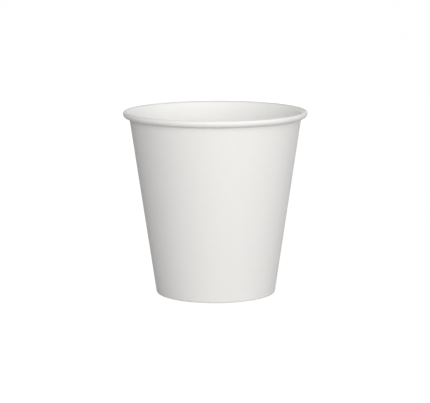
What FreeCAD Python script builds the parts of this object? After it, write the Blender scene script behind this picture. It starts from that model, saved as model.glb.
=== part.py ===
import FreeCAD, Part
import math
import os

import Sketcher

# Paper hot cup in two pieces of paperboard, in millimetres.
# Z is the cup's axis and z = 0 is the plane that its foot rests on.
# side_wall is one fan-shaped blank: wrapped to a cone, lapped and sealed down one side, rolled outward
# at the mouth and folded inward and up at the foot. bottom_disc is a drawn disc whose skirt is
# gripped in that fold.

doc = FreeCAD.newDocument("paper_coffee_cup")

# Driving dimensions: alias, value and what it measures
DIMENSIONS = [
    ("rim_radius", 45.0, "outside of the rolled rim"),
    ("cup_height", 89.6, "foot plane to the top of the rim"),
    ("foot_radius", 29.2, "outer face of the wall, carried down to the foot plane"),
    ("wall_thickness", 0.42, "side wall board with its coating"),
    ("curl_radius", 1.65, "outside radius of the rolled rim's section"),
    ("curl_gap", 0.1, "about the air between the tucked edge and the wall"),
    ("curl_tuck_angle", 60.0, "below level, where the roll tightens to tuck its edge in"),
    ("curl_end_angle", 160.0, "anticlockwise from level, where the tucked edge ends"),
    ("lap_width", 8.0, "overlap of the side seam"),
    ("lap_ramp", 1.5, "run over which the outer lap climbs over the inner edge"),
    ("seam_press", 0.1, "board pressed out of the inner lap's edge as the seam is sealed"),
    ("curl_step", 0.2, "seam step left in the rim after rolling"),
    ("seam_angle", 18.5, "azimuth of the inner lap's cut edge"),
    ("base_thickness", 0.34, "bottom disc board with its coating"),
    ("base_recess", 7.0, "foot plane to the underside of the bottom disc"),
    ("base_bend_radius", 0.6, "inside of the bend between disc and skirt"),
    ("skirt_lift", 0.3, "air between the skirt's edge and the fold"),
    ("seal_gap", 0.05, "glue line on each side of the skirt"),
    ("hem_height", 6.0, "foot plane to the edge of the folded hem"),
    ("foot_corner_radius", 0.5, "outer corner of the pressed fold"),
    ("hem_corner_radius", 0.4, "inner corner of the pressed fold"),
]

sheet = doc.addObject("Spreadsheet::Sheet", "dims")
for row, (alias, value, meaning) in enumerate(DIMENSIONS, start=1):
    sheet.set(f"A{row}", alias)
    sheet.set(f"B{row}", str(value))
    sheet.setAlias(f"B{row}", alias)
    sheet.set(f"C{row}", meaning)
doc.recompute()


def size(alias):
    """A driving dimension, read back from the sheet."""
    return float(sheet.get(alias))


# Points in the half-plane of the section are (r, z). Those that follow the leaning wall are given by
# their depth from its outer face, positive outwards, and their run up it from the foot plane.

wall = size("wall_thickness")
foot = size("foot_radius")
curl = size("curl_radius")
curl_centre = (size("rim_radius") - curl, size("cup_height") - curl)
across, up = curl_centre[0] - foot, curl_centre[1]
reach = math.hypot(across, up)
lean = math.acos((curl - wall) / reach) - math.atan2(up, across)
wall_run = math.sqrt(reach ** 2 - (curl - wall) ** 2)
fold_width = 2 * wall + size("base_thickness") + 2 * size("seal_gap")
tuck = math.radians(-size("curl_tuck_angle"))
tuck_end = math.radians(size("curl_end_angle"))
tight_share = 1.5
tight = curl - (wall + size("curl_gap")) / tight_share
tight_centre = (
    curl_centre[0] + (curl - tight) * math.cos(tuck),
    curl_centre[1] + (curl - tight) * math.sin(tuck),
)

# The same results as expressions, for the features that lean with the wall
SLOPE = "side_wall_section.Constraints.slope"
LEAN = f"(90 deg - {SLOPE})"
FOLD_WIDTH = "(2 * dims.wall_thickness + dims.base_thickness + 2 * dims.seal_gap)"
CURL_X = "(dims.rim_radius - dims.curl_radius)"
CURL_Z = "(dims.cup_height - dims.curl_radius)"
TIGHT = f"(dims.curl_radius - (dims.wall_thickness + dims.curl_gap) / {tight_share})"
# The lap strip swings this many degrees to each side before its edges are trimmed
LAP_SWING = "(1.3 * dims.lap_width / dims.foot_radius * 180 / pi)"
# A trimming profile reaches this far past the strip, which is widest at the rim
LAP_CLEAR = "(1.5 * dims.lap_width * dims.rim_radius / dims.foot_radius)"


def on_wall(depth, run):
    """The point at a depth from the wall's outer face and a run up it."""
    return (
        foot + depth * math.cos(lean) + run * math.sin(lean),
        -depth * math.sin(lean) + run * math.cos(lean),
    )


def wall_at_height(depth, height):
    """The point at a depth from the wall's outer face, at a height above the foot plane."""
    return on_wall(depth, (height + depth * math.sin(lean)) / math.cos(lean))


def about(centre, radius, angle):
    """The point on a circle at an angle in radians."""
    return (centre[0] + radius * math.cos(angle), centre[1] + radius * math.sin(angle))


def vec(point):
    """A sketch point as a vector."""
    return FreeCAD.Vector(point[0], point[1], 0)


# The points of an edge that a constraint can name, numbered from one
START, END, MIDDLE = range(1, 4)
# Every sketch numbers its own two axes downwards from -1, and its origin is a point of the first
SKETCH_AXES = (-1, -2)
X_AXIS, Y_AXIS = SKETCH_AXES
ORIGIN = (X_AXIS, START)


def new_body(name):
    """A body whose Label names its file."""
    body = doc.addObject("PartDesign::Body", name)
    body.Label = name
    return body


def new_sketch(body, name, role):
    """A sketch on one of the body's origin planes."""
    sketch = body.newObject("Sketcher::SketchObject", name)
    plane = [item for item in body.Origin.OriginFeatures if item.Role == role][0]
    sketch.AttachmentSupport = [(plane, "")]
    sketch.MapMode = "FlatFace"
    return sketch


def line(sketch, first, last, construction=False):
    return sketch.addGeometry(Part.LineSegment(vec(first), vec(last)), construction)


def arc(sketch, centre, radius, first, last):
    """An arc that runs anticlockwise from the first angle to the last, in radians."""
    circle = Part.Circle(vec(centre), FreeCAD.Vector(0, 0, 1), radius)
    return sketch.addGeometry(Part.ArcOfCircle(circle, first, last), False)


def hold(sketch, kind, *where):
    """A constraint without a size."""
    return sketch.addConstraint(Sketcher.Constraint(kind, *where))


def bind(sketch, name, formula, kind, *where):
    """A constraint whose size follows a formula over the sheet."""
    index = sketch.addConstraint(Sketcher.Constraint(kind, *where))
    sketch.renameConstraint(index, name)
    sketch.setExpression(f"Constraints.{name}", formula)


def measure(sketch, name, kind, *where):
    """A size that only reads the sketch."""
    index = sketch.addConstraint(Sketcher.Constraint(kind, *where))
    sketch.renameConstraint(index, name)
    sketch.setDriving(index, False)


def chain(sketch, edges, closed=True):
    """Join each edge's end to the next one's start."""
    pairs = zip(edges, edges[1:] + edges[:1]) if closed else zip(edges, edges[1:])
    for one, other in pairs:
        hold(sketch, "Coincident", one, END, other, START)


def outline(sketch, corners):
    """A closed run of straight edges, each corner a pair of formulas and its present place."""
    places = [place for _, _, place in corners]
    edges = [line(sketch, a, b) for a, b in zip(places, places[1:] + places[:1])]
    chain(sketch, edges)
    for edge, (x_formula, y_formula, place) in zip(edges, corners):
        if x_formula == "0":
            hold(sketch, "PointOnObject", edge, START, Y_AXIS)
        else:
            bind(sketch, f"x{edge}", x_formula, "DistanceX", *ORIGIN, edge, START, place[0])
        if y_formula == "0":
            hold(sketch, "PointOnObject", edge, START, X_AXIS)
        else:
            bind(sketch, f"y{edge}", y_formula, "DistanceY", *ORIGIN, edge, START, place[1])


def lean_sketch(sketch, x_formula, z_formula, base):
    """Tip a sketch on XY square to the wall, so that its own x is depth from the wall."""
    tip = FreeCAD.Rotation(FreeCAD.Vector(0, 1, 0), math.degrees(lean))
    sketch.AttachmentOffset = FreeCAD.Placement(FreeCAD.Vector(base[0], 0, base[1]), tip)
    sketch.setExpression("AttachmentOffset.Base.x", x_formula)
    sketch.setExpression("AttachmentOffset.Base.z", z_formula)
    sketch.setExpression("AttachmentOffset.Rotation.Angle", LEAN)


def turn(body, sketch, name, kind="PartDesign::Revolution", formula="360"):
    """Turn a sketch about its own upright axis."""
    feature = body.newObject(kind, name)
    feature.Profile = sketch
    feature.ReferenceAxis = (sketch, ["V_Axis"])
    feature.setExpression("Angle", formula)
    return feature


def cut_through(body, sketch, name):
    """A pocket right through, both ways from its sketch."""
    feature = body.newObject("PartDesign::Pocket", name)
    feature.Profile = sketch
    feature.SideType = "Symmetric"
    feature.Type = "ThroughAll"
    return feature


# side_wall

side_wall = new_body("side_wall")


def sheet_section():
    """The whole blank in section: hem, fold, wall and rolled rim, one thickness all along."""
    sketch = new_sketch(side_wall, "side_wall_section", "YZ_Plane")
    top = math.pi - lean
    inner_fold = fold_width - wall
    seat = size("foot_corner_radius")
    heel = size("hem_corner_radius")
    seat_tangent = seat * math.tan((math.pi / 2 - lean) / 2)
    heel_tangent = heel * math.tan((math.pi / 2 + lean) / 2)
    seat_centre = (foot - seat_tangent, seat)
    heel_centre = (wall_at_height(-fold_width, 0)[0] + heel_tangent, heel)
    hem_top = wall_at_height(-fold_width, size("hem_height"))
    hem_run = (size("hem_height") - fold_width * math.sin(lean)) / math.cos(lean)

    outer = line(sketch, on_wall(0, seat_tangent), about(curl_centre, curl - wall, top))
    roll_in = arc(sketch, curl_centre, curl - wall, tuck, top)
    tuck_in = arc(sketch, tight_centre, tight - wall, tuck_end, tuck + 2 * math.pi)
    cap = line(sketch, about(tight_centre, tight - wall, tuck_end), about(tight_centre, tight, tuck_end))
    tuck_out = arc(sketch, tight_centre, tight, tuck_end, tuck + 2 * math.pi)
    roll_out = arc(sketch, curl_centre, curl, tuck, top)
    inner = line(sketch, about(curl_centre, curl, top), wall_at_height(-wall, wall))
    floor = line(sketch, wall_at_height(-wall, wall), wall_at_height(-inner_fold, wall))
    hem_seat = line(sketch, wall_at_height(-inner_fold, wall), on_wall(-inner_fold, hem_run))
    hem_edge = line(sketch, on_wall(-inner_fold, hem_run), hem_top)
    hem_face = line(sketch, hem_top, about(heel_centre, heel, math.pi - lean))
    heel_arc = arc(sketch, heel_centre, heel, math.pi - lean, 1.5 * math.pi)
    flat = line(sketch, (heel_centre[0], 0), (seat_centre[0], 0))
    seat_arc = arc(sketch, seat_centre, seat, -math.pi / 2, -lean)

    hold(sketch, "Tangent", outer, END, roll_in, END)
    hold(sketch, "Tangent", roll_in, START, tuck_in, END)
    hold(sketch, "Coincident", tuck_in, START, cap, START)
    hold(sketch, "Coincident", cap, END, tuck_out, START)
    hold(sketch, "Tangent", tuck_out, END, roll_out, START)
    hold(sketch, "Tangent", roll_out, END, inner, START)
    chain(sketch, [inner, floor, hem_seat, hem_edge, hem_face], closed=False)
    hold(sketch, "Tangent", hem_face, END, heel_arc, START)
    hold(sketch, "Tangent", heel_arc, END, flat, START)
    hold(sketch, "Tangent", flat, END, seat_arc, START)
    hold(sketch, "Tangent", seat_arc, END, outer, START)

    # Rolled rim: two arcs about one centre, then two tighter ones
    hold(sketch, "Coincident", roll_in, MIDDLE, roll_out, MIDDLE)
    hold(sketch, "Coincident", tuck_in, MIDDLE, tuck_out, MIDDLE)
    bind(sketch, "curl_x", CURL_X, "DistanceX", *ORIGIN, roll_out, MIDDLE, curl_centre[0])
    bind(sketch, "curl_z", CURL_Z, "DistanceY", *ORIGIN, roll_out, MIDDLE, curl_centre[1])
    bind(sketch, "roll_radius", "dims.curl_radius", "Radius", roll_out, curl)
    bind(sketch, "inside_radius", "dims.curl_radius - dims.wall_thickness", "Radius", roll_in, curl - wall)
    bind(sketch, "tight_radius", TIGHT, "Radius", tuck_out, tight)
    spoke = line(sketch, curl_centre, about(curl_centre, curl, tuck), True)
    hold(sketch, "Coincident", spoke, START, roll_out, MIDDLE)
    hold(sketch, "Coincident", spoke, END, roll_out, START)
    bind(sketch, "tuck", "-1 * dims.curl_tuck_angle", "Angle", spoke, tuck)
    hold(sketch, "PointOnObject", tuck_out, MIDDLE, cap)
    bind(sketch, "tuck_end", "dims.curl_end_angle", "Angle", cap, tuck_end)

    # Wall: its outer face, carried down, meets the foot plane at the foot radius
    toe = line(sketch, (foot, 0), on_wall(0, seat_tangent), True)
    hold(sketch, "PointOnObject", toe, START, X_AXIS)
    bind(sketch, "foot", "dims.foot_radius", "DistanceX", *ORIGIN, toe, START, foot)
    hold(sketch, "Coincident", toe, END, outer, START)
    hold(sketch, "Parallel", toe, outer)
    hold(sketch, "Parallel", inner, outer)

    # Fold: pressed flat on the foot plane, its hem parallel to the wall
    hold(sketch, "PointOnObject", flat, START, X_AXIS)
    hold(sketch, "Horizontal", flat)
    bind(sketch, "seat_radius", "dims.foot_corner_radius", "Radius", seat_arc, seat)
    bind(sketch, "heel_radius", "dims.hem_corner_radius", "Radius", heel_arc, heel)
    hold(sketch, "Horizontal", floor)
    bind(sketch, "floor_height", "dims.wall_thickness", "DistanceY", *ORIGIN, floor, START, wall)
    hold(sketch, "Parallel", hem_seat, outer)
    hold(sketch, "Parallel", hem_face, outer)
    bind(sketch, "fold_width", FOLD_WIDTH, "Distance", hem_face, START, outer, fold_width)
    bind(sketch, "fold_room", f"{FOLD_WIDTH} - dims.wall_thickness", "Distance", hem_seat, END, outer, inner_fold)
    hold(sketch, "Perpendicular", hem_edge, hem_face)
    bind(sketch, "hem_height", "dims.hem_height", "DistanceY", *ORIGIN, hem_face, START, size("hem_height"))

    # What follows from rim, foot and height, measured for the features below
    measure(sketch, "slope", "Angle", toe, math.pi / 2 - lean)
    measure(sketch, "inner_run", "Distance", inner, wall_run)
    return sketch


def lap_section():
    """The seam's outer layer in section: up the wall into the roll, and up the hem."""
    sketch = new_sketch(side_wall, "lap_section", "XZ_Plane")
    seat = size("foot_corner_radius")
    heel = size("hem_corner_radius")
    middle = wall / 2
    hem_top = size("hem_height") - 2 * wall
    lap_top = tight_centre[1] - middle
    seat_tangent = seat * math.tan((math.pi / 2 - lean) / 2)
    heel_tangent = heel * math.tan((math.pi / 2 + lean) / 2)
    toe_x = wall_at_height(wall, 0)[0]
    heel_x = wall_at_height(-fold_width - wall, 0)[0]
    seat_centre = (toe_x - seat_tangent, seat)
    heel_centre = (heel_x + heel_tangent, heel)

    guide = line(sketch, (foot, 0), on_wall(0, seat), True)
    hold(sketch, "PointOnObject", guide, START, X_AXIS)
    bind(sketch, "foot", "dims.foot_radius", "DistanceX", *ORIGIN, guide, START, foot)
    bind(sketch, "slope", SLOPE, "Angle", guide, math.pi / 2 - lean)
    bind(sketch, "guide_length", "dims.foot_corner_radius", "Distance", guide, seat)

    # Layer on the wall, closed at the wall's mid-thickness
    face = line(sketch, about(seat_centre, seat, -lean), wall_at_height(wall, lap_top))
    top = line(sketch, wall_at_height(wall, lap_top), wall_at_height(-middle, lap_top))
    back = line(sketch, wall_at_height(-middle, lap_top), wall_at_height(-middle, 0))
    under = line(sketch, wall_at_height(-middle, 0), (seat_centre[0], 0))
    corner = arc(sketch, seat_centre, seat, -math.pi / 2, -lean)
    chain(sketch, [face, top, back, under], closed=False)
    hold(sketch, "Tangent", under, END, corner, START)
    hold(sketch, "Tangent", corner, END, face, START)
    hold(sketch, "Parallel", face, guide)
    hold(sketch, "Parallel", back, guide)
    hold(sketch, "Horizontal", top)
    hold(sketch, "Horizontal", under)
    hold(sketch, "PointOnObject", under, START, X_AXIS)
    bind(sketch, "seat_radius", "dims.foot_corner_radius", "Radius", corner, seat)
    bind(sketch, "face_depth", "dims.wall_thickness", "Distance", face, START, guide, wall)
    bind(sketch, "back_depth", "dims.wall_thickness / 2", "Distance", back, START, guide, middle)
    bind(
        sketch, "lap_top",
        f"{CURL_Z} - (dims.curl_radius - {TIGHT}) * sin(dims.curl_tuck_angle) - dims.wall_thickness / 2",
        "DistanceY", *ORIGIN, top, START, lap_top,
    )

    # Layer on the hem: the longer way round the fold leaves its edge two thicknesses lower
    hem_back = line(sketch, wall_at_height(-fold_width + middle, 0), wall_at_height(-fold_width + middle, hem_top))
    hem_cap = line(
        sketch, wall_at_height(-fold_width + middle, hem_top), wall_at_height(-fold_width - wall, hem_top)
    )
    hem_face = line(sketch, wall_at_height(-fold_width - wall, hem_top), about(heel_centre, heel, math.pi - lean))
    heel_arc = arc(sketch, heel_centre, heel, math.pi - lean, 1.5 * math.pi)
    hem_under = line(sketch, (heel_centre[0], 0), wall_at_height(-fold_width + middle, 0))
    chain(sketch, [hem_under, hem_back, hem_cap, hem_face], closed=False)
    hold(sketch, "Tangent", hem_face, END, heel_arc, START)
    hold(sketch, "Tangent", heel_arc, END, hem_under, START)
    hold(sketch, "Parallel", hem_back, guide)
    hold(sketch, "Parallel", hem_face, guide)
    hold(sketch, "Horizontal", hem_cap)
    hold(sketch, "Horizontal", hem_under)
    hold(sketch, "PointOnObject", hem_under, START, X_AXIS)
    bind(sketch, "heel_radius", "dims.hem_corner_radius", "Radius", heel_arc, heel)
    bind(
        sketch, "hem_back_depth", f"{FOLD_WIDTH} - dims.wall_thickness / 2",
        "Distance", hem_back, START, guide, fold_width - middle,
    )
    bind(
        sketch, "hem_face_depth", f"{FOLD_WIDTH} + dims.wall_thickness",
        "Distance", hem_face, START, guide, fold_width + wall,
    )
    bind(
        sketch, "hem_top", "dims.hem_height - 2 * dims.wall_thickness",
        "DistanceY", *ORIGIN, hem_cap, START, hem_top,
    )
    return sketch


def trim_lap_edge():
    """Cut the outer layer off along a line one lap width from the inner edge."""
    sketch = new_sketch(side_wall, "lap_edge_outline", "XY_Plane")
    lap, far = size("lap_width"), size("rim_radius")
    outline(sketch, [
        ("0", "dims.lap_width", (0, lap)),
        ("2 * dims.rim_radius", "dims.lap_width", (2 * far, lap)),
        ("2 * dims.rim_radius", "dims.rim_radius", (2 * far, far)),
        ("0", "dims.rim_radius", (0, far)),
    ])
    return cut_through(side_wall, sketch, "lap_edge")


def trim_lap_ramp():
    """Cut the outer layer down to a ramp on both sides of the fold, where it climbs over the inner edge."""
    sketch = new_sketch(side_wall, "lap_ramp_outline", "XY_Plane")
    lean_sketch(sketch, "dims.foot_radius", "0 * dims.foot_radius", (foot, 0))
    ramp = size("lap_ramp")
    clear = 1.5 * size("lap_width") * size("rim_radius") / foot
    outer, inner = wall, -fold_width - wall
    meet = -(wall + fold_width / 2) * ramp / wall
    outer_x = "dims.wall_thickness"
    inner_x = f"-1 * ({FOLD_WIDTH} + dims.wall_thickness)"
    outline(sketch, [
        (outer_x, "0", (outer, 0)),
        (f"{outer_x} + {LAP_CLEAR}", "0", (outer + clear, 0)),
        (f"{outer_x} + {LAP_CLEAR}", f"-1 * {LAP_CLEAR}", (outer + clear, -clear)),
        (f"{inner_x} - {LAP_CLEAR}", f"-1 * {LAP_CLEAR}", (inner - clear, -clear)),
        (f"{inner_x} - {LAP_CLEAR}", "0", (inner - clear, 0)),
        (inner_x, "0", (inner, 0)),
        (
            f"-0.5 * {FOLD_WIDTH}",
            f"-1 * (dims.wall_thickness + {FOLD_WIDTH} / 2) * dims.lap_ramp / dims.wall_thickness",
            (-fold_width / 2, meet),
        ),
    ])
    return cut_through(side_wall, sketch, "lap_ramp")


def step_outline(sketch, face_x, face, depth_formula, depth):
    """A wedge that falls from nothing to a step's depth behind a face, and clears the face in front."""
    ramp = size("lap_ramp")
    outline(sketch, [
        (f"{face_x} + {depth_formula}", "0", (face + depth, 0)),
        (f"{face_x} - {depth_formula}", "-2 * dims.lap_ramp", (face - depth, -2 * ramp)),
        (f"{face_x} - {depth_formula}", "0", (face - depth, 0)),
    ])


def cut_inner_step():
    """The cut edge of the inner lap, a step down the inside of the wall from rim to fold."""
    sketch = new_sketch(side_wall, "inner_step_outline", "XY_Plane")
    start = wall * (1 - math.sin(lean)) / math.cos(lean)
    start_formula = f"(dims.wall_thickness * (1 - sin{LEAN}) / cos{LEAN})"
    lean_sketch(
        sketch, f"dims.foot_radius + {start_formula} * sin{LEAN}", f"{start_formula} * cos{LEAN}",
        on_wall(0, start),
    )
    step_outline(
        sketch, "-1 * dims.wall_thickness", -wall,
        "(dims.wall_thickness - dims.seam_press)", wall - size("seam_press"),
    )
    feature = side_wall.newObject("PartDesign::Pocket", "inner_step")
    feature.Profile = sketch
    feature.Reversed = True
    feature.setExpression("Length", "side_wall_section.Constraints.inner_run")
    return feature


def cut_rim_step():
    """The same edge over the rolled rim, pressed to a shallower step."""
    sketch = new_sketch(side_wall, "rim_step_outline", "XY_Plane")
    lean_sketch(sketch, CURL_X, CURL_Z, curl_centre)
    step_outline(sketch, "-1 * dims.curl_radius", -curl, "dims.curl_step", size("curl_step"))
    # From the top of the wall, over the rim, to the lowest point of the roll
    return turn(side_wall, sketch, "rim_step", "PartDesign::Groove", f"180 deg + {SLOPE}")


def expect_less(feature, before):
    """Recompute after a cut: one that took nothing away points the wrong way."""
    doc.recompute()
    after = feature.Shape.Volume
    if not after < before:
        raise RuntimeError(f"{feature.Name} cut nothing")
    return after


def build_side_wall():
    """The seam's outer layer is shaped first, then the board is turned round it and stepped."""
    board_section = sheet_section()
    # The board's measured slope has to be known before anything leans with it
    doc.recompute()
    strip = turn(side_wall, lap_section(), "lap_strip", formula=f"2 * {LAP_SWING}")
    strip.Midplane = True
    doc.recompute()
    volume = strip.Shape.Volume
    for trim in (trim_lap_edge, trim_lap_ramp):
        volume = expect_less(trim(), volume)
    board = turn(side_wall, board_section, "rolled_board")
    doc.recompute()
    volume = board.Shape.Volume
    for cut in (cut_inner_step, cut_rim_step):
        volume = expect_less(cut(), volume)


# bottom_disc

bottom_disc = new_body("bottom_disc")


def disc_section():
    """Half of the drawn disc: flat, a bend, and a skirt that leans with the wall."""
    sketch = new_sketch(bottom_disc, "disc_section", "XZ_Plane")
    board, bend, gap = size("base_thickness"), size("base_bend_radius"), size("seal_gap")
    under_height = size("base_recess")
    top_height = under_height + board
    outer_depth = -(wall + gap)
    inner_depth = outer_depth - board
    edge_height = wall + size("skirt_lift")
    bend_centre = wall_at_height(inner_depth - bend, under_height - bend)

    guide = line(sketch, (foot, 0), on_wall(0, under_height), True)
    hold(sketch, "PointOnObject", guide, START, X_AXIS)
    bind(sketch, "foot", "dims.foot_radius", "DistanceX", *ORIGIN, guide, START, foot)
    bind(sketch, "slope", SLOPE, "Angle", guide, math.pi / 2 - lean)
    bind(sketch, "guide_length", "dims.base_recess", "Distance", guide, under_height)

    top = line(sketch, (bend_centre[0], top_height), (0, top_height))
    axis = line(sketch, (0, top_height), (0, under_height))
    under = line(sketch, (0, under_height), (bend_centre[0], under_height))
    inner_bend = arc(sketch, bend_centre, bend, -lean, math.pi / 2)
    inner = line(sketch, about(bend_centre, bend, -lean), wall_at_height(inner_depth, edge_height))
    edge = line(sketch, wall_at_height(inner_depth, edge_height), wall_at_height(outer_depth, edge_height))
    outer = line(sketch, wall_at_height(outer_depth, edge_height), about(bend_centre, bend + board, -lean))
    outer_bend = arc(sketch, bend_centre, bend + board, -lean, math.pi / 2)

    chain(sketch, [top, axis, under], closed=False)
    chain(sketch, [inner, edge, outer], closed=False)
    hold(sketch, "Tangent", under, END, inner_bend, END)
    hold(sketch, "Tangent", inner_bend, START, inner, START)
    hold(sketch, "Tangent", outer, END, outer_bend, START)
    hold(sketch, "Tangent", outer_bend, END, top, START)
    hold(sketch, "Coincident", inner_bend, MIDDLE, outer_bend, MIDDLE)
    for level in (top, under, edge):
        hold(sketch, "Horizontal", level)
    for end in (START, END):
        hold(sketch, "PointOnObject", axis, end, Y_AXIS)
    hold(sketch, "Parallel", inner, guide)
    hold(sketch, "Parallel", outer, guide)
    bind(sketch, "bend_radius", "dims.base_bend_radius", "Radius", inner_bend, bend)
    bind(sketch, "under_height", "dims.base_recess", "DistanceY", *ORIGIN, under, START, under_height)
    bind(
        sketch, "top_height", "dims.base_recess + dims.base_thickness",
        "DistanceY", *ORIGIN, top, START, top_height,
    )
    bind(
        sketch, "skirt_depth", "dims.wall_thickness + dims.seal_gap",
        "Distance", outer, START, guide, -outer_depth,
    )
    bind(
        sketch, "skirt_edge", "dims.wall_thickness + dims.skirt_lift",
        "DistanceY", *ORIGIN, edge, START, edge_height,
    )
    return sketch


build_side_wall()
turn(bottom_disc, disc_section(), "drawn_disc")
for body in (side_wall, bottom_disc):
    body.Placement = FreeCAD.Placement(
        FreeCAD.Vector(0, 0, 0), FreeCAD.Rotation(FreeCAD.Vector(0, 0, 1), size("seam_angle"))
    )
    body.setExpression("Placement.Rotation.Angle", "dims.seam_angle")
doc.recompute()

failed = [item.Name for item in doc.Objects if {"Invalid", "Error"} & set(item.State)]
if failed:
    raise RuntimeError("failed to build: " + ", ".join(failed))
loose = [
    item.Name for item in doc.Objects
    if item.isDerivedFrom("Sketcher::SketchObject") and not item.FullyConstrained
]
if loose:
    raise RuntimeError("not fully constrained: " + ", ".join(loose))
for body in (side_wall, bottom_disc):
    if body.Shape.isNull() or not body.Shape.isValid() or len(body.Shape.Solids) != 1:
        raise RuntimeError(f"{body.Label} is not one valid solid")

os.makedirs("parts", exist_ok=True)
for body in (side_wall, bottom_disc):
    body.Shape.exportStep(f"parts/{body.Label}.step")
    box = body.Shape.BoundBox
    print(
        body.Label, f"{body.Shape.Volume:.0f} mm3",
        f"{box.XLength:.2f} x {box.YLength:.2f} x {box.ZLength:.2f}", f"from z {box.ZMin:.3f}",
    )
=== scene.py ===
import math

import bmesh
import bpy
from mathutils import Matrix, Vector


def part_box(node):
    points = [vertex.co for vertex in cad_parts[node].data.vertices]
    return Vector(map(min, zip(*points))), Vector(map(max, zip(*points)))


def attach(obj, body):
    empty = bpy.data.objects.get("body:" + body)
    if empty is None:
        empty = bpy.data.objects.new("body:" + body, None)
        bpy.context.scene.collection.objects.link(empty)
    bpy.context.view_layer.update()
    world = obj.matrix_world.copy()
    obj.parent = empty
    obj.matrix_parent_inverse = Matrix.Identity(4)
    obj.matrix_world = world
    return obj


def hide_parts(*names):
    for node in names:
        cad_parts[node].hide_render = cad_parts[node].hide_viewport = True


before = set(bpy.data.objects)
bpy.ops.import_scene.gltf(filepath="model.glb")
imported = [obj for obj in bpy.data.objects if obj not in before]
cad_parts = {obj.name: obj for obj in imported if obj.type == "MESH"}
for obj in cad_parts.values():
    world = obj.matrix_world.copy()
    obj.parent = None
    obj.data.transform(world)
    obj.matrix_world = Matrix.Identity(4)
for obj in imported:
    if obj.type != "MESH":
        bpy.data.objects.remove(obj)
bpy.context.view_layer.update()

bl_info = {
    "name": "Paper coffee cup",
    "version": (1, 0, 0),
    "blender": (4, 5, 0),
    "location": "View3D > Sidebar > Paper cup",
    "description": "Models and finishes the two boards of a paper coffee cup round its CAD frame",
    "category": "Add Mesh",
}

MM = 0.001
# Outer corner of the folded foot, an oval, and its inner corner, round
SEAT_ACROSS, SEAT_ALONG, HEEL = 0.62 * MM, 0.94 * MM, 0.35 * MM
# Height over which the lap is pressed flat at the foot plane
LAP_PRESS = 0.5 * MM
# Bend of the bottom disc, glue line outside its skirt, and gap between the skirt and the fold
BASE_BEND, SEAL_GAP, SKIRT_LIFT = 0.6 * MM, 0.05 * MM, 0.3 * MM
# Directions of the roll's outer face where the board's last turn starts and ends
TUCK_START, TUCK_END = math.radians(-110), math.radians(-215)
# Part of the board's thickness that the pressed seam hides at the inner lap's cut edge, and the
# share of the step that is left over the roll
SEAM_HIDDEN, STEP_ON_ROLL = 0.1 * MM, 0.6
# Teeth pressed into the hem, and what they leave plain at its foot and edge
KNURL_TEETH, KNURL_DEPTH = 144, 0.1 * MM
KNURL_FOOT, KNURL_EDGE = 0.8 * MM, 0.5 * MM
# Steps of the two spins, and the angle from which a fold is shaded sharp
WALL_STEPS, BASE_STEPS, SHARP_FOLD = 288, 192, math.radians(40)
# Width of a cut, how far off a face a vertex still belongs to it, and the merging distance
CUT, ON_FACE, MERGE = 0.03 * MM, 0.02 * MM, 0.001 * MM
# The same for the roll, as a share of its size, and how far in its outer layer counts as its outside
ON_ROLL, ROLL_SKIN = 0.015, 0.85

# Photograph's width in pixels, and the camera's sensor width in millimetres
PHOTO_WIDTH, SENSOR = 430, 36.0
FLOOR_RADIUS = 4.0
# Radiance of the floor that the camera sees, and its share against the lit floor, which keeps the shadow
FLOOR_WHITE, FLOOR_SHARE = 1.25, 0.75
LAMP_WIDTH, LAMP_DISTANCE, LAMP_AIM = 0.7, 0.85, 45 * MM
LAMP_COLOUR = (1.0, 0.995, 0.985)
# Each lamp's radiance, azimuth to the right of the camera in degrees, and lower and upper edge
LAMPS = {
    "front": (0.765, -5, 0.07, 0.77),
    "right_low": (0.37, 25, 0.0, 0.45),
    "right": (0.16, 55, 0.07, 0.77),
    "side": (0.17, 90, 0.07, 0.77),
    "back": (0.4, 180, 0.0, 0.45),
}

WALL_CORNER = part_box("side_wall")[1]


# Sizes and colours

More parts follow.
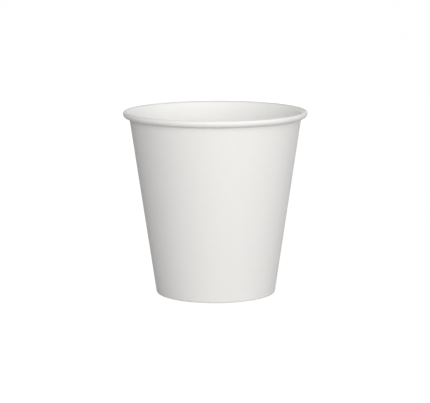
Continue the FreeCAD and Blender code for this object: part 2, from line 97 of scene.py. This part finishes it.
class CupSizes(bpy.types.PropertyGroup):
    """Sizes of the board and of what is rolled, lapped and folded from it"""

    rim_radius: bpy.props.FloatProperty(
        name="Rim radius", description="Outside of the rolled rim",
        default=WALL_CORNER.x, unit="LENGTH", precision=5,
    )
    height: bpy.props.FloatProperty(
        name="Height", description="Foot plane to the top of the rim",
        default=WALL_CORNER.z, unit="LENGTH", precision=5,
    )
    foot_radius: bpy.props.FloatProperty(
        name="Foot radius", description="Outer face of the wall, carried down to the foot plane",
        default=29.2 * MM, unit="LENGTH", precision=5,
    )
    board: bpy.props.FloatProperty(
        name="Wall board", description="Thickness of the side wall's board",
        default=0.42 * MM, unit="LENGTH", precision=5,
    )
    lean: bpy.props.FloatProperty(
        name="Lean", description="Lean of the wall from upright",
        default=math.radians(8.348), subtype="ANGLE",
    )
    flare: bpy.props.FloatProperty(
        name="Flare", description="Further lean that the wall takes where it runs into the roll",
        default=math.radians(6.2), subtype="ANGLE",
    )
    roll_across: bpy.props.FloatProperty(
        name="Roll's short radius",
        description="Outside radius of the rolled rim's oval section, outwards and down",
        default=1.3 * MM, unit="LENGTH", precision=5,
    )
    roll_along: bpy.props.FloatProperty(
        name="Roll's long radius",
        description="Outside radius of the rolled rim's oval section, outwards and up",
        default=1.8 * MM, unit="LENGTH", precision=5,
    )
    roll_slant: bpy.props.FloatProperty(
        name="Roll's slant", description="Direction of the oval section's short radius",
        default=math.radians(-40.1), subtype="ANGLE",
    )
    roll_tuck: bpy.props.FloatProperty(
        name="Tuck radius", description="Radius of the board's last turn inside the roll",
        default=0.55 * MM, unit="LENGTH", precision=5,
    )
    lap: bpy.props.FloatProperty(
        name="Lap width", description="Overlap of the side seam",
        default=8.0 * MM, unit="LENGTH", precision=5,
    )
    lap_ramp: bpy.props.FloatProperty(
        name="Lap ramp", description="Run over which the outer lap climbs over the inner edge",
        default=1.5 * MM, unit="LENGTH", precision=5,
    )
    seam_angle: bpy.props.FloatProperty(
        name="Seam angle", description="Azimuth of the inner lap's cut edge",
        default=math.radians(18.5), subtype="ANGLE",
    )
    fold_width: bpy.props.FloatProperty(
        name="Fold width", description="Folded foot from its outer to its inner face",
        default=1.28 * MM, unit="LENGTH", precision=5,
    )
    hem_height: bpy.props.FloatProperty(
        name="Hem height", description="Foot plane to the edge of the folded hem",
        default=6.0 * MM, unit="LENGTH", precision=5,
    )
    base_board: bpy.props.FloatProperty(
        name="Base board", description="Thickness of the bottom disc's board",
        default=0.34 * MM, unit="LENGTH", precision=5,
    )
    base_recess: bpy.props.FloatProperty(
        name="Base recess", description="Foot plane to the underside of the bottom disc",
        default=7.0 * MM, unit="LENGTH", precision=5,
    )


class CupFinish(bpy.types.PropertyGroup):
    """Colours of the board's faces; the inside's colour is made lighter as painted light, and the rim's
    darker as painted shade
    """

    outside: bpy.props.FloatVectorProperty(
        name="Outside", description="Bare board on the outside of the cup",
        default=(0.812, 0.802, 0.792), subtype="COLOR", min=0, max=1,
    )
    # Painted light: the coated inside is the same white board as the outside, given a lighter colour so
    # that the inside of the cup comes out brighter
    inside: bpy.props.FloatVectorProperty(
        name="Inside", description="Coated board on the inside",
        default=(0.92, 0.916, 0.906), subtype="COLOR", min=0, max=1,
    )
    # Painted shade: the rim is the same coated board as the inside, given a darker colour so that the
    # roll's crest and its tips at the sides come out darker
    rim: bpy.props.FloatVectorProperty(
        name="Rim", description="Coated board that the curling die has drawn over the rim",
        default=(0.84, 0.835, 0.826), subtype="COLOR", min=0, max=1,
    )
    edge: bpy.props.FloatVectorProperty(
        name="Cut edge", description="Raw fibre where the board is cut",
        default=(0.74, 0.715, 0.67), subtype="COLOR", min=0, max=1,
    )


class StageSetup(bpy.types.PropertyGroup):
    """Camera of the photograph and strength of the lights"""

    distance: bpy.props.FloatProperty(
        name="Camera distance", description="Camera to the point it looks at",
        default=900.0 * MM, unit="LENGTH",
    )
    elevation: bpy.props.FloatProperty(
        name="Camera elevation", description="Angle at which the camera looks down",
        default=math.radians(9.369), subtype="ANGLE",
    )
    roll: bpy.props.FloatProperty(
        name="Camera roll", description="Turn of the camera about its own axis",
        default=math.radians(0.161), subtype="ANGLE",
    )
    focus_pixels: bpy.props.FloatProperty(
        name="Focal length", description="Focal length in pixels of the photograph", default=1833.2,
    )
    target_height: bpy.props.FloatProperty(
        name="Aim height", description="Height on the cup's axis that the camera looks at",
        default=44.68 * MM, unit="LENGTH", precision=5,
    )
    aim_side: bpy.props.FloatProperty(
        name="Aim offset",
        description="Distance from the cup's axis to the point looked at, to the right",
        default=-0.27 * MM, unit="LENGTH", precision=5,
    )
    lamps: bpy.props.FloatProperty(
        name="Lamps", description="Strength of all the lamps", default=1.0, min=0.0,
    )
    sky: bpy.props.FloatProperty(
        name="Surround", description="Light of the white room on the cup", default=0.325, min=0.0,
    )


# Modelling by hand, in calls

def deselect_all():
    """Leave edit mode and select nothing."""
    if bpy.context.object and bpy.context.object.mode != "OBJECT":
        bpy.ops.object.mode_set(mode="OBJECT")
    bpy.ops.object.select_all(action="DESELECT")


def start_section(name, points):
    """Draw a section in the XZ plane, point by point, from a small plane merged to one vertex."""
    deselect_all()
    start_r, start_z = points[0]
    bpy.ops.mesh.primitive_plane_add(size=0.1 * MM, location=(start_r, 0, start_z))
    piece = bpy.context.object
    piece.name = name
    piece.data.name = name
    bpy.ops.object.transform_apply(location=True, rotation=True, scale=True)
    bpy.ops.object.mode_set(mode="EDIT")
    bpy.ops.mesh.select_mode(type="VERT")
    bpy.ops.mesh.select_all(action="SELECT")
    bpy.ops.mesh.merge(type="CENTER")
    for (r, z), (last_r, last_z) in zip(points[1:], points):
        bpy.ops.mesh.extrude_region_move(TRANSFORM_OT_translate={"value": (r - last_r, 0, z - last_z)})
    return piece


def spin_section(steps):
    """Spin the drawn section once round the cup's axis and close it."""
    bpy.ops.mesh.select_all(action="SELECT")
    bpy.ops.mesh.spin(steps=steps, angle=2 * math.pi, center=(0, 0, 0), axis=(0, 0, 1))
    bpy.ops.mesh.select_all(action="SELECT")
    bpy.ops.mesh.remove_doubles(threshold=MERGE)
    bpy.ops.mesh.normals_make_consistent(inside=False)


def select_vertices(piece, test):
    """Select the vertices whose place passes a test, and the faces between them."""
    mesh = bmesh.from_edit_mesh(piece.data)
    for part in (mesh.faces, mesh.edges, mesh.verts):
        for item in part:
            item.select = False
    for vertex in mesh.verts:
        vertex.select = test(vertex.co)
    mesh.select_flush(True)
    bmesh.update_edit_mesh(piece.data)


def displace(piece, name, strength, weight):
    """Push vertices along their normals, each by its own share of a strength."""
    bpy.ops.object.mode_set(mode="OBJECT")
    group = piece.vertex_groups.new(name=name)
    for vertex in piece.data.vertices:
        share = weight(vertex.co)
        if share > 0:
            group.add([vertex.index], share, "REPLACE")
    push = piece.modifiers.new(name, "DISPLACE")
    push.vertex_group = name
    push.mid_level = 0.0
    push.strength = strength
    bpy.ops.object.modifier_apply(modifier=name)
    piece.vertex_groups.remove(piece.vertex_groups[name])
    bpy.ops.object.mode_set(mode="EDIT")


def settle(piece, seam_angle):
    """Turn the piece to its seam, apply its place and shade it smooth but for sharp folds."""
    bpy.ops.object.mode_set(mode="OBJECT")
    piece.rotation_euler.z = seam_angle
    bpy.ops.object.transform_apply(location=True, rotation=True, scale=True)
    bpy.ops.object.shade_smooth_by_angle(angle=SHARP_FOLD)


# Section of the board, as points (r, z)

def oval(centre, across, along, slant, inset, first, last, count):
    """Points on an oval, set in from it, for directions of its normal from the first to the last."""
    points = []
    for i in range(count + 1):
        angle = first + (last - first) * i / count - slant
        reach = math.hypot(across * math.cos(angle), along * math.sin(angle))
        x = (across * across / reach - inset) * math.cos(angle)
        y = (along * along / reach - inset) * math.sin(angle)
        points.append((
            centre[0] + x * math.cos(slant) - y * math.sin(slant),
            centre[1] + x * math.sin(slant) + y * math.cos(slant),
        ))
    return points


def between(one, other, count):
    """Points that divide a straight run, without its ends."""
    return [
        (one[0] + (other[0] - one[0]) * i / count, one[1] + (other[1] - one[1]) * i / count)
        for i in range(1, count)
    ]


def wall_at(sizes, depth, height):
    """Point at a depth behind the wall's outer face, at a height above the foot plane."""
    lean = sizes.lean
    return (sizes.foot_radius + height * math.tan(lean) - depth / math.cos(lean), height)


class Roll:
    """The rolled rim's oval section, and the flare that leads the wall into it."""

    def __init__(self, sizes):
        self.sizes = sizes
        across, along, slant = sizes.roll_across, sizes.roll_along, sizes.roll_slant
        self.centre = (
            sizes.rim_radius - math.hypot(across * math.cos(slant), along * math.sin(slant)),
            sizes.height - math.hypot(across * math.sin(slant), along * math.cos(slant)),
        )
        self.under = self.centre[1] - along
        self.start = math.pi - sizes.lean - sizes.flare
        start_r, self.top = self.arc(0, self.start, self.start, 1)[0]
        self.shift = start_r - wall_at(sizes, sizes.board, self.top)[0]
        self.run = 2 * self.shift / (math.tan(sizes.lean + sizes.flare) - math.tan(sizes.lean))

    def arc(self, inset, first, last, count):
        """Points on the roll, set in from its outside."""
        sizes = self.sizes
        return oval(
            self.centre, sizes.roll_across, sizes.roll_along, sizes.roll_slant,
            inset, first, last, count,
        )

    def flare(self, height):
        """Distance by which the flare moves the wall outwards at a height."""
        share = min(1.0, max(0.0, 1 - (self.top - height) / self.run))
        return self.shift * share * share

    def flared(self, points):
        """Points of the straight wall, moved out by the flare."""
        return [(r + self.flare(z), z) for r, z in points]

    def depth(self, place):
        """Depth of a place behind the wall's outer face."""
        sizes = self.sizes
        far = math.hypot(place.x, place.y) - self.flare(place.z) - sizes.foot_radius
        return place.z * math.sin(sizes.lean) - far * math.cos(sizes.lean)

    def reach(self, place):
        """Place of a point between the roll's centre, 0, and its outside, 1."""
        sizes = self.sizes
        r, z = math.hypot(place.x, place.y) - self.centre[0], place.z - self.centre[1]
        cos, sin = math.cos(sizes.roll_slant), math.sin(sizes.roll_slant)
        return math.hypot(
            (r * cos + z * sin) / sizes.roll_across, (z * cos - r * sin) / sizes.roll_along,
        )


def wall_section(sizes):
    """Closed section of the side wall's board: roll, wall, fold and hem."""
    roll = Roll(sizes)
    lean, board, fold, tight = sizes.lean, sizes.board, sizes.fold_width, sizes.roll_tuck
    down = -math.pi / 2

    roll_outside = roll.arc(0, roll.start, TUCK_START, 32)
    roll_inside = roll.arc(board, TUCK_START, roll.start, 24)
    tuck_centre = roll.arc(tight, TUCK_START, TUCK_START, 1)[0]
    tuck_outside = oval(tuck_centre, tight, tight, 0, 0, TUCK_START, TUCK_END, 12)
    tuck_inside = oval(tuck_centre, tight, tight, 0, board, TUCK_END, TUCK_START, 8)

    seat_depth = math.hypot(SEAT_ACROSS * math.cos(lean), SEAT_ALONG * math.sin(lean))
    seat_centre = wall_at(sizes, seat_depth, SEAT_ALONG)
    seat = oval(seat_centre, SEAT_ACROSS, SEAT_ALONG, 0, 0, -lean, down, 7)
    heel = oval(wall_at(sizes, fold - HEEL, HEEL), HEEL, HEEL, 0, 0, down, -math.pi - lean, 5)

    inside_roll = wall_at(sizes, 0, roll_inside[-1][1])
    under_roll = wall_at(sizes, 0, roll.under)
    outer = between(inside_roll, under_roll, 4) + [under_roll] + between(under_roll, seat[0], 43)
    hem_top = wall_at(sizes, fold, sizes.hem_height)
    hem_edge = wall_at(sizes, fold - board, sizes.hem_height)
    floor_in, floor_out = wall_at(sizes, fold - board, board), wall_at(sizes, board, board)
    inner = between(floor_out, wall_at(sizes, board, roll.top), 46)
    return (
        roll_outside + tuck_outside[1:] + tuck_inside[:-1] + roll_inside
        + roll.flared(outer) + seat + heel
        + between(heel[-1], hem_top, 6) + [hem_top, hem_edge]
        + between(hem_edge, floor_in, 4) + [floor_in, floor_out]
        + roll.flared(inner) + roll_outside[:1]
    )


def base_section(sizes):
    """Closed section of the bottom disc, from the axis out to its skirt and back."""
    lean, board, under = sizes.lean, sizes.base_board, sizes.base_recess
    outer_depth = sizes.board + SEAL_GAP
    inner_depth = outer_depth + board
    skirt_foot = sizes.board + SKIRT_LIFT
    centre = wall_at(sizes, inner_depth + BASE_BEND, under - BASE_BEND)
    outer_radius = BASE_BEND + board
    outer_bend = oval(centre, outer_radius, outer_radius, 0, 0, math.pi / 2, -lean, 8)
    inner_bend = oval(centre, BASE_BEND, BASE_BEND, 0, 0, -lean, math.pi / 2, 8)
    skirt_out = wall_at(sizes, outer_depth, skirt_foot)
    skirt_in = wall_at(sizes, inner_depth, skirt_foot)
    top, bottom = (0, under + board), (0, under)
    return (
        [top] + between(top, (centre[0], under + board), 16) + outer_bend
        + between(outer_bend[-1], skirt_out, 5) + [skirt_out, skirt_in]
        + between(skirt_in, inner_bend[0], 5) + inner_bend
        + between((centre[0], under), bottom, 16) + [bottom]
    )


class Seam:
    """How far places of the wall are pushed at the lap and the hem, as shares, and their finish."""

    def __init__(self, sizes, roll):
        self.sizes = sizes
        self.roll = roll

    def climb(self, place):
        """Share of a board's thickness that the outer lap has climbed."""
        ramp, lap = self.sizes.lap_ramp, self.sizes.lap
        if place.x < 0 or place.y < -ramp or place.y > lap + CUT / 2:
            return 0.0
        return min(1.0, 1 + place.y / ramp)

    def lapped(self, place):
        """Outer layer of the lap, on the wall, round the fold and up the hem."""
        sizes, depth = self.sizes, self.roll.depth(place)
        on_face = abs(depth) < ON_FACE or abs(depth - sizes.fold_width) < ON_FACE
        if not on_face or place.z > self.roll.under + CUT:
            return 0.0
        if place.z > sizes.hem_height - 2 * sizes.board and depth > sizes.board:
            return 0.0
        return self.climb(place) * min(1.0, place.z / LAP_PRESS)

    def stepped(self, place):
        """Inner face that falls behind the inner lap's cut edge, less so over the roll."""
        sizes, roll = self.sizes, self.roll
        if place.x < 0 or not -sizes.lap_ramp < place.y < -CUT / 2:
            return 0.0
        share = 1 + place.y / sizes.lap_ramp
        on_inner_face = abs(roll.depth(place) - sizes.board) < ON_FACE
        if on_inner_face and sizes.base_recess < place.z < roll.top:
            return share
        return STEP_ON_ROLL * share if abs(roll.reach(place) - 1) < ON_ROLL else 0.0

    def knurled(self, place):
        """Teeth that are pressed into the hem."""
        sizes = self.sizes
        on_hem = abs(self.roll.depth(place) - sizes.fold_width) <= ON_FACE
        if not on_hem or not KNURL_FOOT < place.z < sizes.hem_height - KNURL_EDGE:
            return 0.0
        return 0.5 + 0.5 * math.cos(KNURL_TEETH * math.atan2(place.y, place.x))

    def finish(self, face):
        """Name of the finish that a face of the wall has."""
        sizes, roll, place = self.sizes, self.roll, face.center
        outwards = Vector((place.x, place.y, 0)).normalized()
        along = Vector((-outwards.y, outwards.x, 0))
        if abs(face.normal.dot(along)) > 0.5:
            return "edge"
        if place.z > roll.under and roll.reach(place) > ROLL_SKIN:
            # The roll's faces take the rim's darker colour, painted shade, unless they face into the
            # cup, where they take the inside's lighter colour, painted light
            return "rim" if face.normal.dot(outwards) > -0.7 else "inside"
        return "inside" if 0.5 < roll.depth(place) / sizes.board < 1.5 else "outside"


# Shader maths

class Value:
    """A socket that adds, subtracts, multiplies and, with |, takes the larger, through Math nodes."""

    def __init__(self, shader, socket):
        self.shader = shader
        self.socket = socket

    def _math(self, operation, one, other):
        return self.shader.add("ShaderNodeMath", {"operation": operation}, s0=one, s1=other)[0]

    def __add__(self, other):
        return self._math("ADD", self, other)

    __radd__ = __add__

    def __sub__(self, other):
        return self._math("SUBTRACT", self, other)

    def __rsub__(self, other):
        return self._math("SUBTRACT", other, self)

    def __mul__(self, other):
        return self._math("MULTIPLY", self, other)

    __rmul__ = __mul__

    def __or__(self, other):
        return self._math("MAXIMUM", self, other)

    __ror__ = __or__


class Outputs:
    """The outputs of a node as values, by name or number."""

    def __init__(self, shader, node):
        self.shader = shader
        self.node = node

    def __getitem__(self, name):
        return Value(self.shader, self.node.outputs[name])


class Shader:
    """The node tree of a material or of the world, built by expressions."""

    def __init__(self, owner):
        owner.use_nodes = True
        self.tree = owner.node_tree
        self.tree.nodes.clear()

    def add(self, kind, settings=None, **sockets):
        """Add a node, set it up, then feed its sockets by name (or by number, as s0, s1 ...)."""
        node = self.tree.nodes.new(kind)
        for key, value in (settings or {}).items():
            setattr(node, key, value)
        for key, value in sockets.items():
            name = int(key[1:]) if key[1:].isdigit() else key.replace("_", " ")
            target = node.inputs[name]
            if isinstance(value, Value):
                self.tree.links.new(value.socket, target)
            elif target.type == "RGBA":
                target.default_value = (*value, 1)
            else:
                target.default_value = value
        return Outputs(self, node)

    def noise(self, scale, detail, roughness=0.5, stretch=(1, 1, 1)):
        """Noise on Object coordinates in metres; its grains are about one over the scale across."""
        place = self.add("ShaderNodeTexCoord")["Object"]
        stretched = self.add("ShaderNodeMapping", Vector=place, Scale=stretch)["Vector"]
        return self.add(
            "ShaderNodeTexNoise", Vector=stretched, Scale=scale, Detail=detail, Roughness=roughness,
        )["Fac"]

    def blend(self, factor, one, other):
        """One colour turning to another by a factor."""
        return self.add("ShaderNodeMix", {"data_type": "RGBA"}, s0=factor, s6=one, s7=other)[2]


def tinted(colour, factor):
    """A colour scaled by a factor for each channel."""
    return tuple(c * f for c, f in zip(colour, factor))


def board_material(name, colour, roughness, relief):
    """White paperboard: cloudy formation and fine fibres."""
    material = bpy.data.materials.new(name)
    shader = Shader(material)
    cloud = shader.noise(240, 4.0, 0.6)
    fibre = shader.noise(1.0, 5.0, 0.65, (2600, 2600, 900))
    shade = cloud * 0.6 + fibre * 0.4
    dark, light = tinted(colour, (0.975, 0.972, 0.965)), tinted(colour, (1.02, 1.022, 1.025))
    bump = shader.add("ShaderNodeBump", Strength=relief, Distance=0.02 * MM, Height=shade)
    surface = shader.add(
        "ShaderNodeBsdfPrincipled", Base_Color=shader.blend(shade, dark, light),
        Roughness=roughness + (fibre - 0.5) * 0.12, Normal=bump["Normal"],
        IOR=1.48, Specular_IOR_Level=0.05,
    )
    shader.add("ShaderNodeOutputMaterial", Surface=surface["BSDF"])
    return material


def edge_material(name, colour):
    """Raw cut edge: layered fibre, rough and a little warmer."""
    material = bpy.data.materials.new(name)
    shader = Shader(material)
    layers = shader.noise(1.0, 4.0, 0.7, (5200, 5200, 1400))
    dark, light = tinted(colour, (0.93, 0.92, 0.9)), tinted(colour, (1.06, 1.05, 1.03))
    bump = shader.add("ShaderNodeBump", Strength=0.5, Distance=0.03 * MM, Height=layers)
    surface = shader.add(
        "ShaderNodeBsdfPrincipled", Base_Color=shader.blend(layers, dark, light),
        Roughness=0.85, Normal=bump["Normal"],
    )
    shader.add("ShaderNodeOutputMaterial", Surface=surface["BSDF"])
    return material


def floor_material(name):
    """Pale floor that shows white to the camera and keeps the cup's shadow faintly."""
    material = bpy.data.materials.new(name)
    shader = Shader(material)
    tone = shader.blend(shader.noise(3.0, 2.0), (0.49, 0.49, 0.49), (0.51, 0.51, 0.51))
    lit = shader.add("ShaderNodeBsdfPrincipled", Base_Color=tone, Roughness=0.9)
    white = shader.add("ShaderNodeEmission", Color=(1, 1, 1), Strength=FLOOR_WHITE)
    seen = shader.add("ShaderNodeLightPath")["Is Camera Ray"] * FLOOR_SHARE
    mixed = shader.add("ShaderNodeMixShader", s0=seen, s1=lit["BSDF"], s2=white["Emission"])
    shader.add("ShaderNodeOutputMaterial", Surface=mixed["Shader"])
    return material


def paint_faces(piece, materials, choose):
    """Give each face the material that a function of the face names."""
    names = list(materials)
    for name in names:
        piece.data.materials.append(materials[name])
    for face in piece.data.polygons:
        face.material_index = names.index(choose(face))


# Pieces

class CUP_OT_side_wall(bpy.types.Operator):
    """Model the wrapped, lapped, rolled and folded board of the side wall"""

    bl_idname = "cup.side_wall"
    bl_label = "Side wall"

    def execute(self, context):
        sizes, finish = context.scene.cup_sizes, context.scene.cup_finish
        piece = start_section("cup_wall", wall_section(sizes))
        spin_section(WALL_STEPS)

        # Cut the board along the seam's lines, which run parallel to the inner lap's edge
        ramp, lap = sizes.lap_ramp, sizes.lap
        near = 2.5 * ramp
        for line in (-ramp, -0.6 * ramp, -0.3 * ramp, -CUT, 0, lap, lap + CUT):
            select_vertices(piece, lambda place: place.x > 0 and -near < place.y < lap + near)
            bpy.ops.mesh.bisect(plane_co=(0, line, 0), plane_no=(0, 1, 0), threshold=MERGE)

        seam = Seam(sizes, Roll(sizes))
        displace(piece, "knurl", -KNURL_DEPTH, seam.knurled)
        displace(piece, "outer_lap", sizes.board, seam.lapped)
        displace(piece, "inner_step", SEAM_HIDDEN - sizes.board, seam.stepped)
        settle(piece, sizes.seam_angle)
        paint_faces(piece, {
            "outside": board_material("Bare white board", finish.outside, 0.7, 0.35),
            # The coated board's lighter colour is painted light on the cup's inside
            "inside": board_material("Coated white board, painted light", finish.inside, 0.5, 0.2),
            # The rolled board's darker colour is painted shade on the roll
            "rim": board_material("Rolled white board, painted shade", finish.rim, 0.55, 0.2),
            "edge": edge_material("Cut board edge", finish.edge),
        }, seam.finish)
        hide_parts("side_wall")
        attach(piece, "root")
        return {"FINISHED"}


class CUP_OT_bottom_disc(bpy.types.Operator):
    """Model the drawn disc that closes the cup above its foot"""

    bl_idname = "cup.bottom_disc"
    bl_label = "Bottom disc"

    def execute(self, context):
        sizes, finish = context.scene.cup_sizes, context.scene.cup_finish
        piece = start_section("cup_base", base_section(sizes))
        spin_section(BASE_STEPS)
        settle(piece, sizes.seam_angle)
        paint_faces(piece, {
            "outside": board_material("Bare base board", finish.outside, 0.7, 0.35),
            # The coated board's lighter colour is painted light on the top of the disc
            "inside": board_material("Coated base board, painted light", finish.inside, 0.5, 0.2),
        }, lambda face: "inside" if face.normal.z > 0.1 else "outside")
        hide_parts("bottom_disc")
        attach(piece, "root")
        return {"FINISHED"}


class CUP_OT_stage(bpy.types.Operator):
    """Set the floor, the lamps, the white room and the camera of the photograph"""

    bl_idname = "cup.stage"
    bl_label = "Stage"

    def execute(self, context):
        setup = context.scene.cup_stage
        self.floor()
        for name, (radiance, azimuth, low, high) in LAMPS.items():
            self.soft_box(name, setup.lamps * radiance, math.radians(azimuth), low, high)
        self.room(context, setup.sky)
        self.camera(context, setup)
        context.scene.view_settings.view_transform = "Standard"
        return {"FINISHED"}

    def floor(self):
        """A plain white floor."""
        deselect_all()
        bpy.ops.mesh.primitive_circle_add(vertices=96, radius=FLOOR_RADIUS, fill_type="NGON")
        floor = bpy.context.object
        floor.name = "floor"
        floor.data.materials.append(floor_material("Studio floor"))

    def soft_box(self, name, radiance, azimuth, low, high):
        """A soft lamp aimed at the cup, at an azimuth right of the camera and between two heights."""
        place = Vector((math.sin(azimuth), -math.cos(azimuth), 0)) * LAMP_DISTANCE
        place.z = (low + high) / 2
        bpy.ops.object.light_add(type="AREA", location=place)
        lamp = bpy.context.object
        lamp.name = name
        lamp.rotation_euler = (Vector((0, 0, LAMP_AIM)) - place).to_track_quat("-Z", "Y").to_euler()
        lamp.data.shape = "RECTANGLE"
        lamp.data.size, lamp.data.size_y = LAMP_WIDTH, high - low
        # Watts that give the lamp's face this radiance
        lamp.data.energy = radiance * 4 * math.pi * LAMP_WIDTH * (high - low)
        lamp.data.color = LAMP_COLOUR

    def room(self, context, strength):
        """A white room: white to the camera and in reflections, softer as a light."""
        world = context.scene.world or bpy.data.worlds.new("White room")
        context.scene.world = world
        shader = Shader(world)
        path = shader.add("ShaderNodeLightPath")
        seen = path["Is Camera Ray"] | path["Is Glossy Ray"] | path["Is Transmission Ray"]
        soft = shader.add("ShaderNodeBackground", Color=(1, 1, 1), Strength=strength)
        white = shader.add("ShaderNodeBackground", Color=(1, 1, 1), Strength=1.0)
        mixed = shader.add(
            "ShaderNodeMixShader", s0=seen, s1=soft["Background"], s2=white["Background"],
        )
        shader.add("ShaderNodeOutputWorld", Surface=mixed["Shader"])

    def camera(self, context, setup):
        """The photograph's view: a long lens a little above the rim."""
        target = Vector((setup.aim_side, 0, setup.target_height))
        away = Vector((0, -math.cos(setup.elevation), math.sin(setup.elevation)))
        bpy.ops.object.camera_add(location=target + setup.distance * away)
        camera = bpy.context.object
        camera.name = "photo_camera"
        camera.rotation_euler = (-away).to_track_quat("-Z", "Y").to_euler()
        camera.rotation_euler.rotate_axis("Z", -setup.roll)
        camera.data.sensor_fit = "HORIZONTAL"
        camera.data.sensor_width = SENSOR
        camera.data.lens = setup.focus_pixels * SENSOR / PHOTO_WIDTH
        context.scene.camera = camera


class CUP_PT_panel(bpy.types.Panel):
    """Sizes, finish and stage of the cup, with a button for each piece"""

    bl_idname = "CUP_PT_panel"
    bl_label = "Paper coffee cup"
    bl_space_type = "VIEW_3D"
    bl_region_type = "UI"
    bl_category = "Paper cup"

    def draw(self, context):
        layout = self.layout
        for group in (context.scene.cup_sizes, context.scene.cup_finish, context.scene.cup_stage):
            box = layout.box()
            for name in group.bl_rna.properties.keys():
                if name not in {"rna_type", "name"}:
                    box.prop(group, name)
        for operator in (CUP_OT_side_wall, CUP_OT_bottom_disc, CUP_OT_stage):
            layout.operator(operator.bl_idname)


CLASSES = (
    CupSizes, CupFinish, StageSetup,
    CUP_OT_side_wall, CUP_OT_bottom_disc, CUP_OT_stage, CUP_PT_panel,
)


def register():
    for cls in CLASSES:
        bpy.utils.register_class(cls)
    bpy.types.Scene.cup_sizes = bpy.props.PointerProperty(type=CupSizes)
    bpy.types.Scene.cup_finish = bpy.props.PointerProperty(type=CupFinish)
    bpy.types.Scene.cup_stage = bpy.props.PointerProperty(type=StageSetup)


def unregister():
    del bpy.types.Scene.cup_stage
    del bpy.types.Scene.cup_finish
    del bpy.types.Scene.cup_sizes
    for cls in reversed(CLASSES):
        bpy.utils.unregister_class(cls)


def main():
    register()
    bpy.ops.cup.side_wall()
    bpy.ops.cup.bottom_disc()
    bpy.ops.cup.stage()


if __name__ == "__main__":
    main()
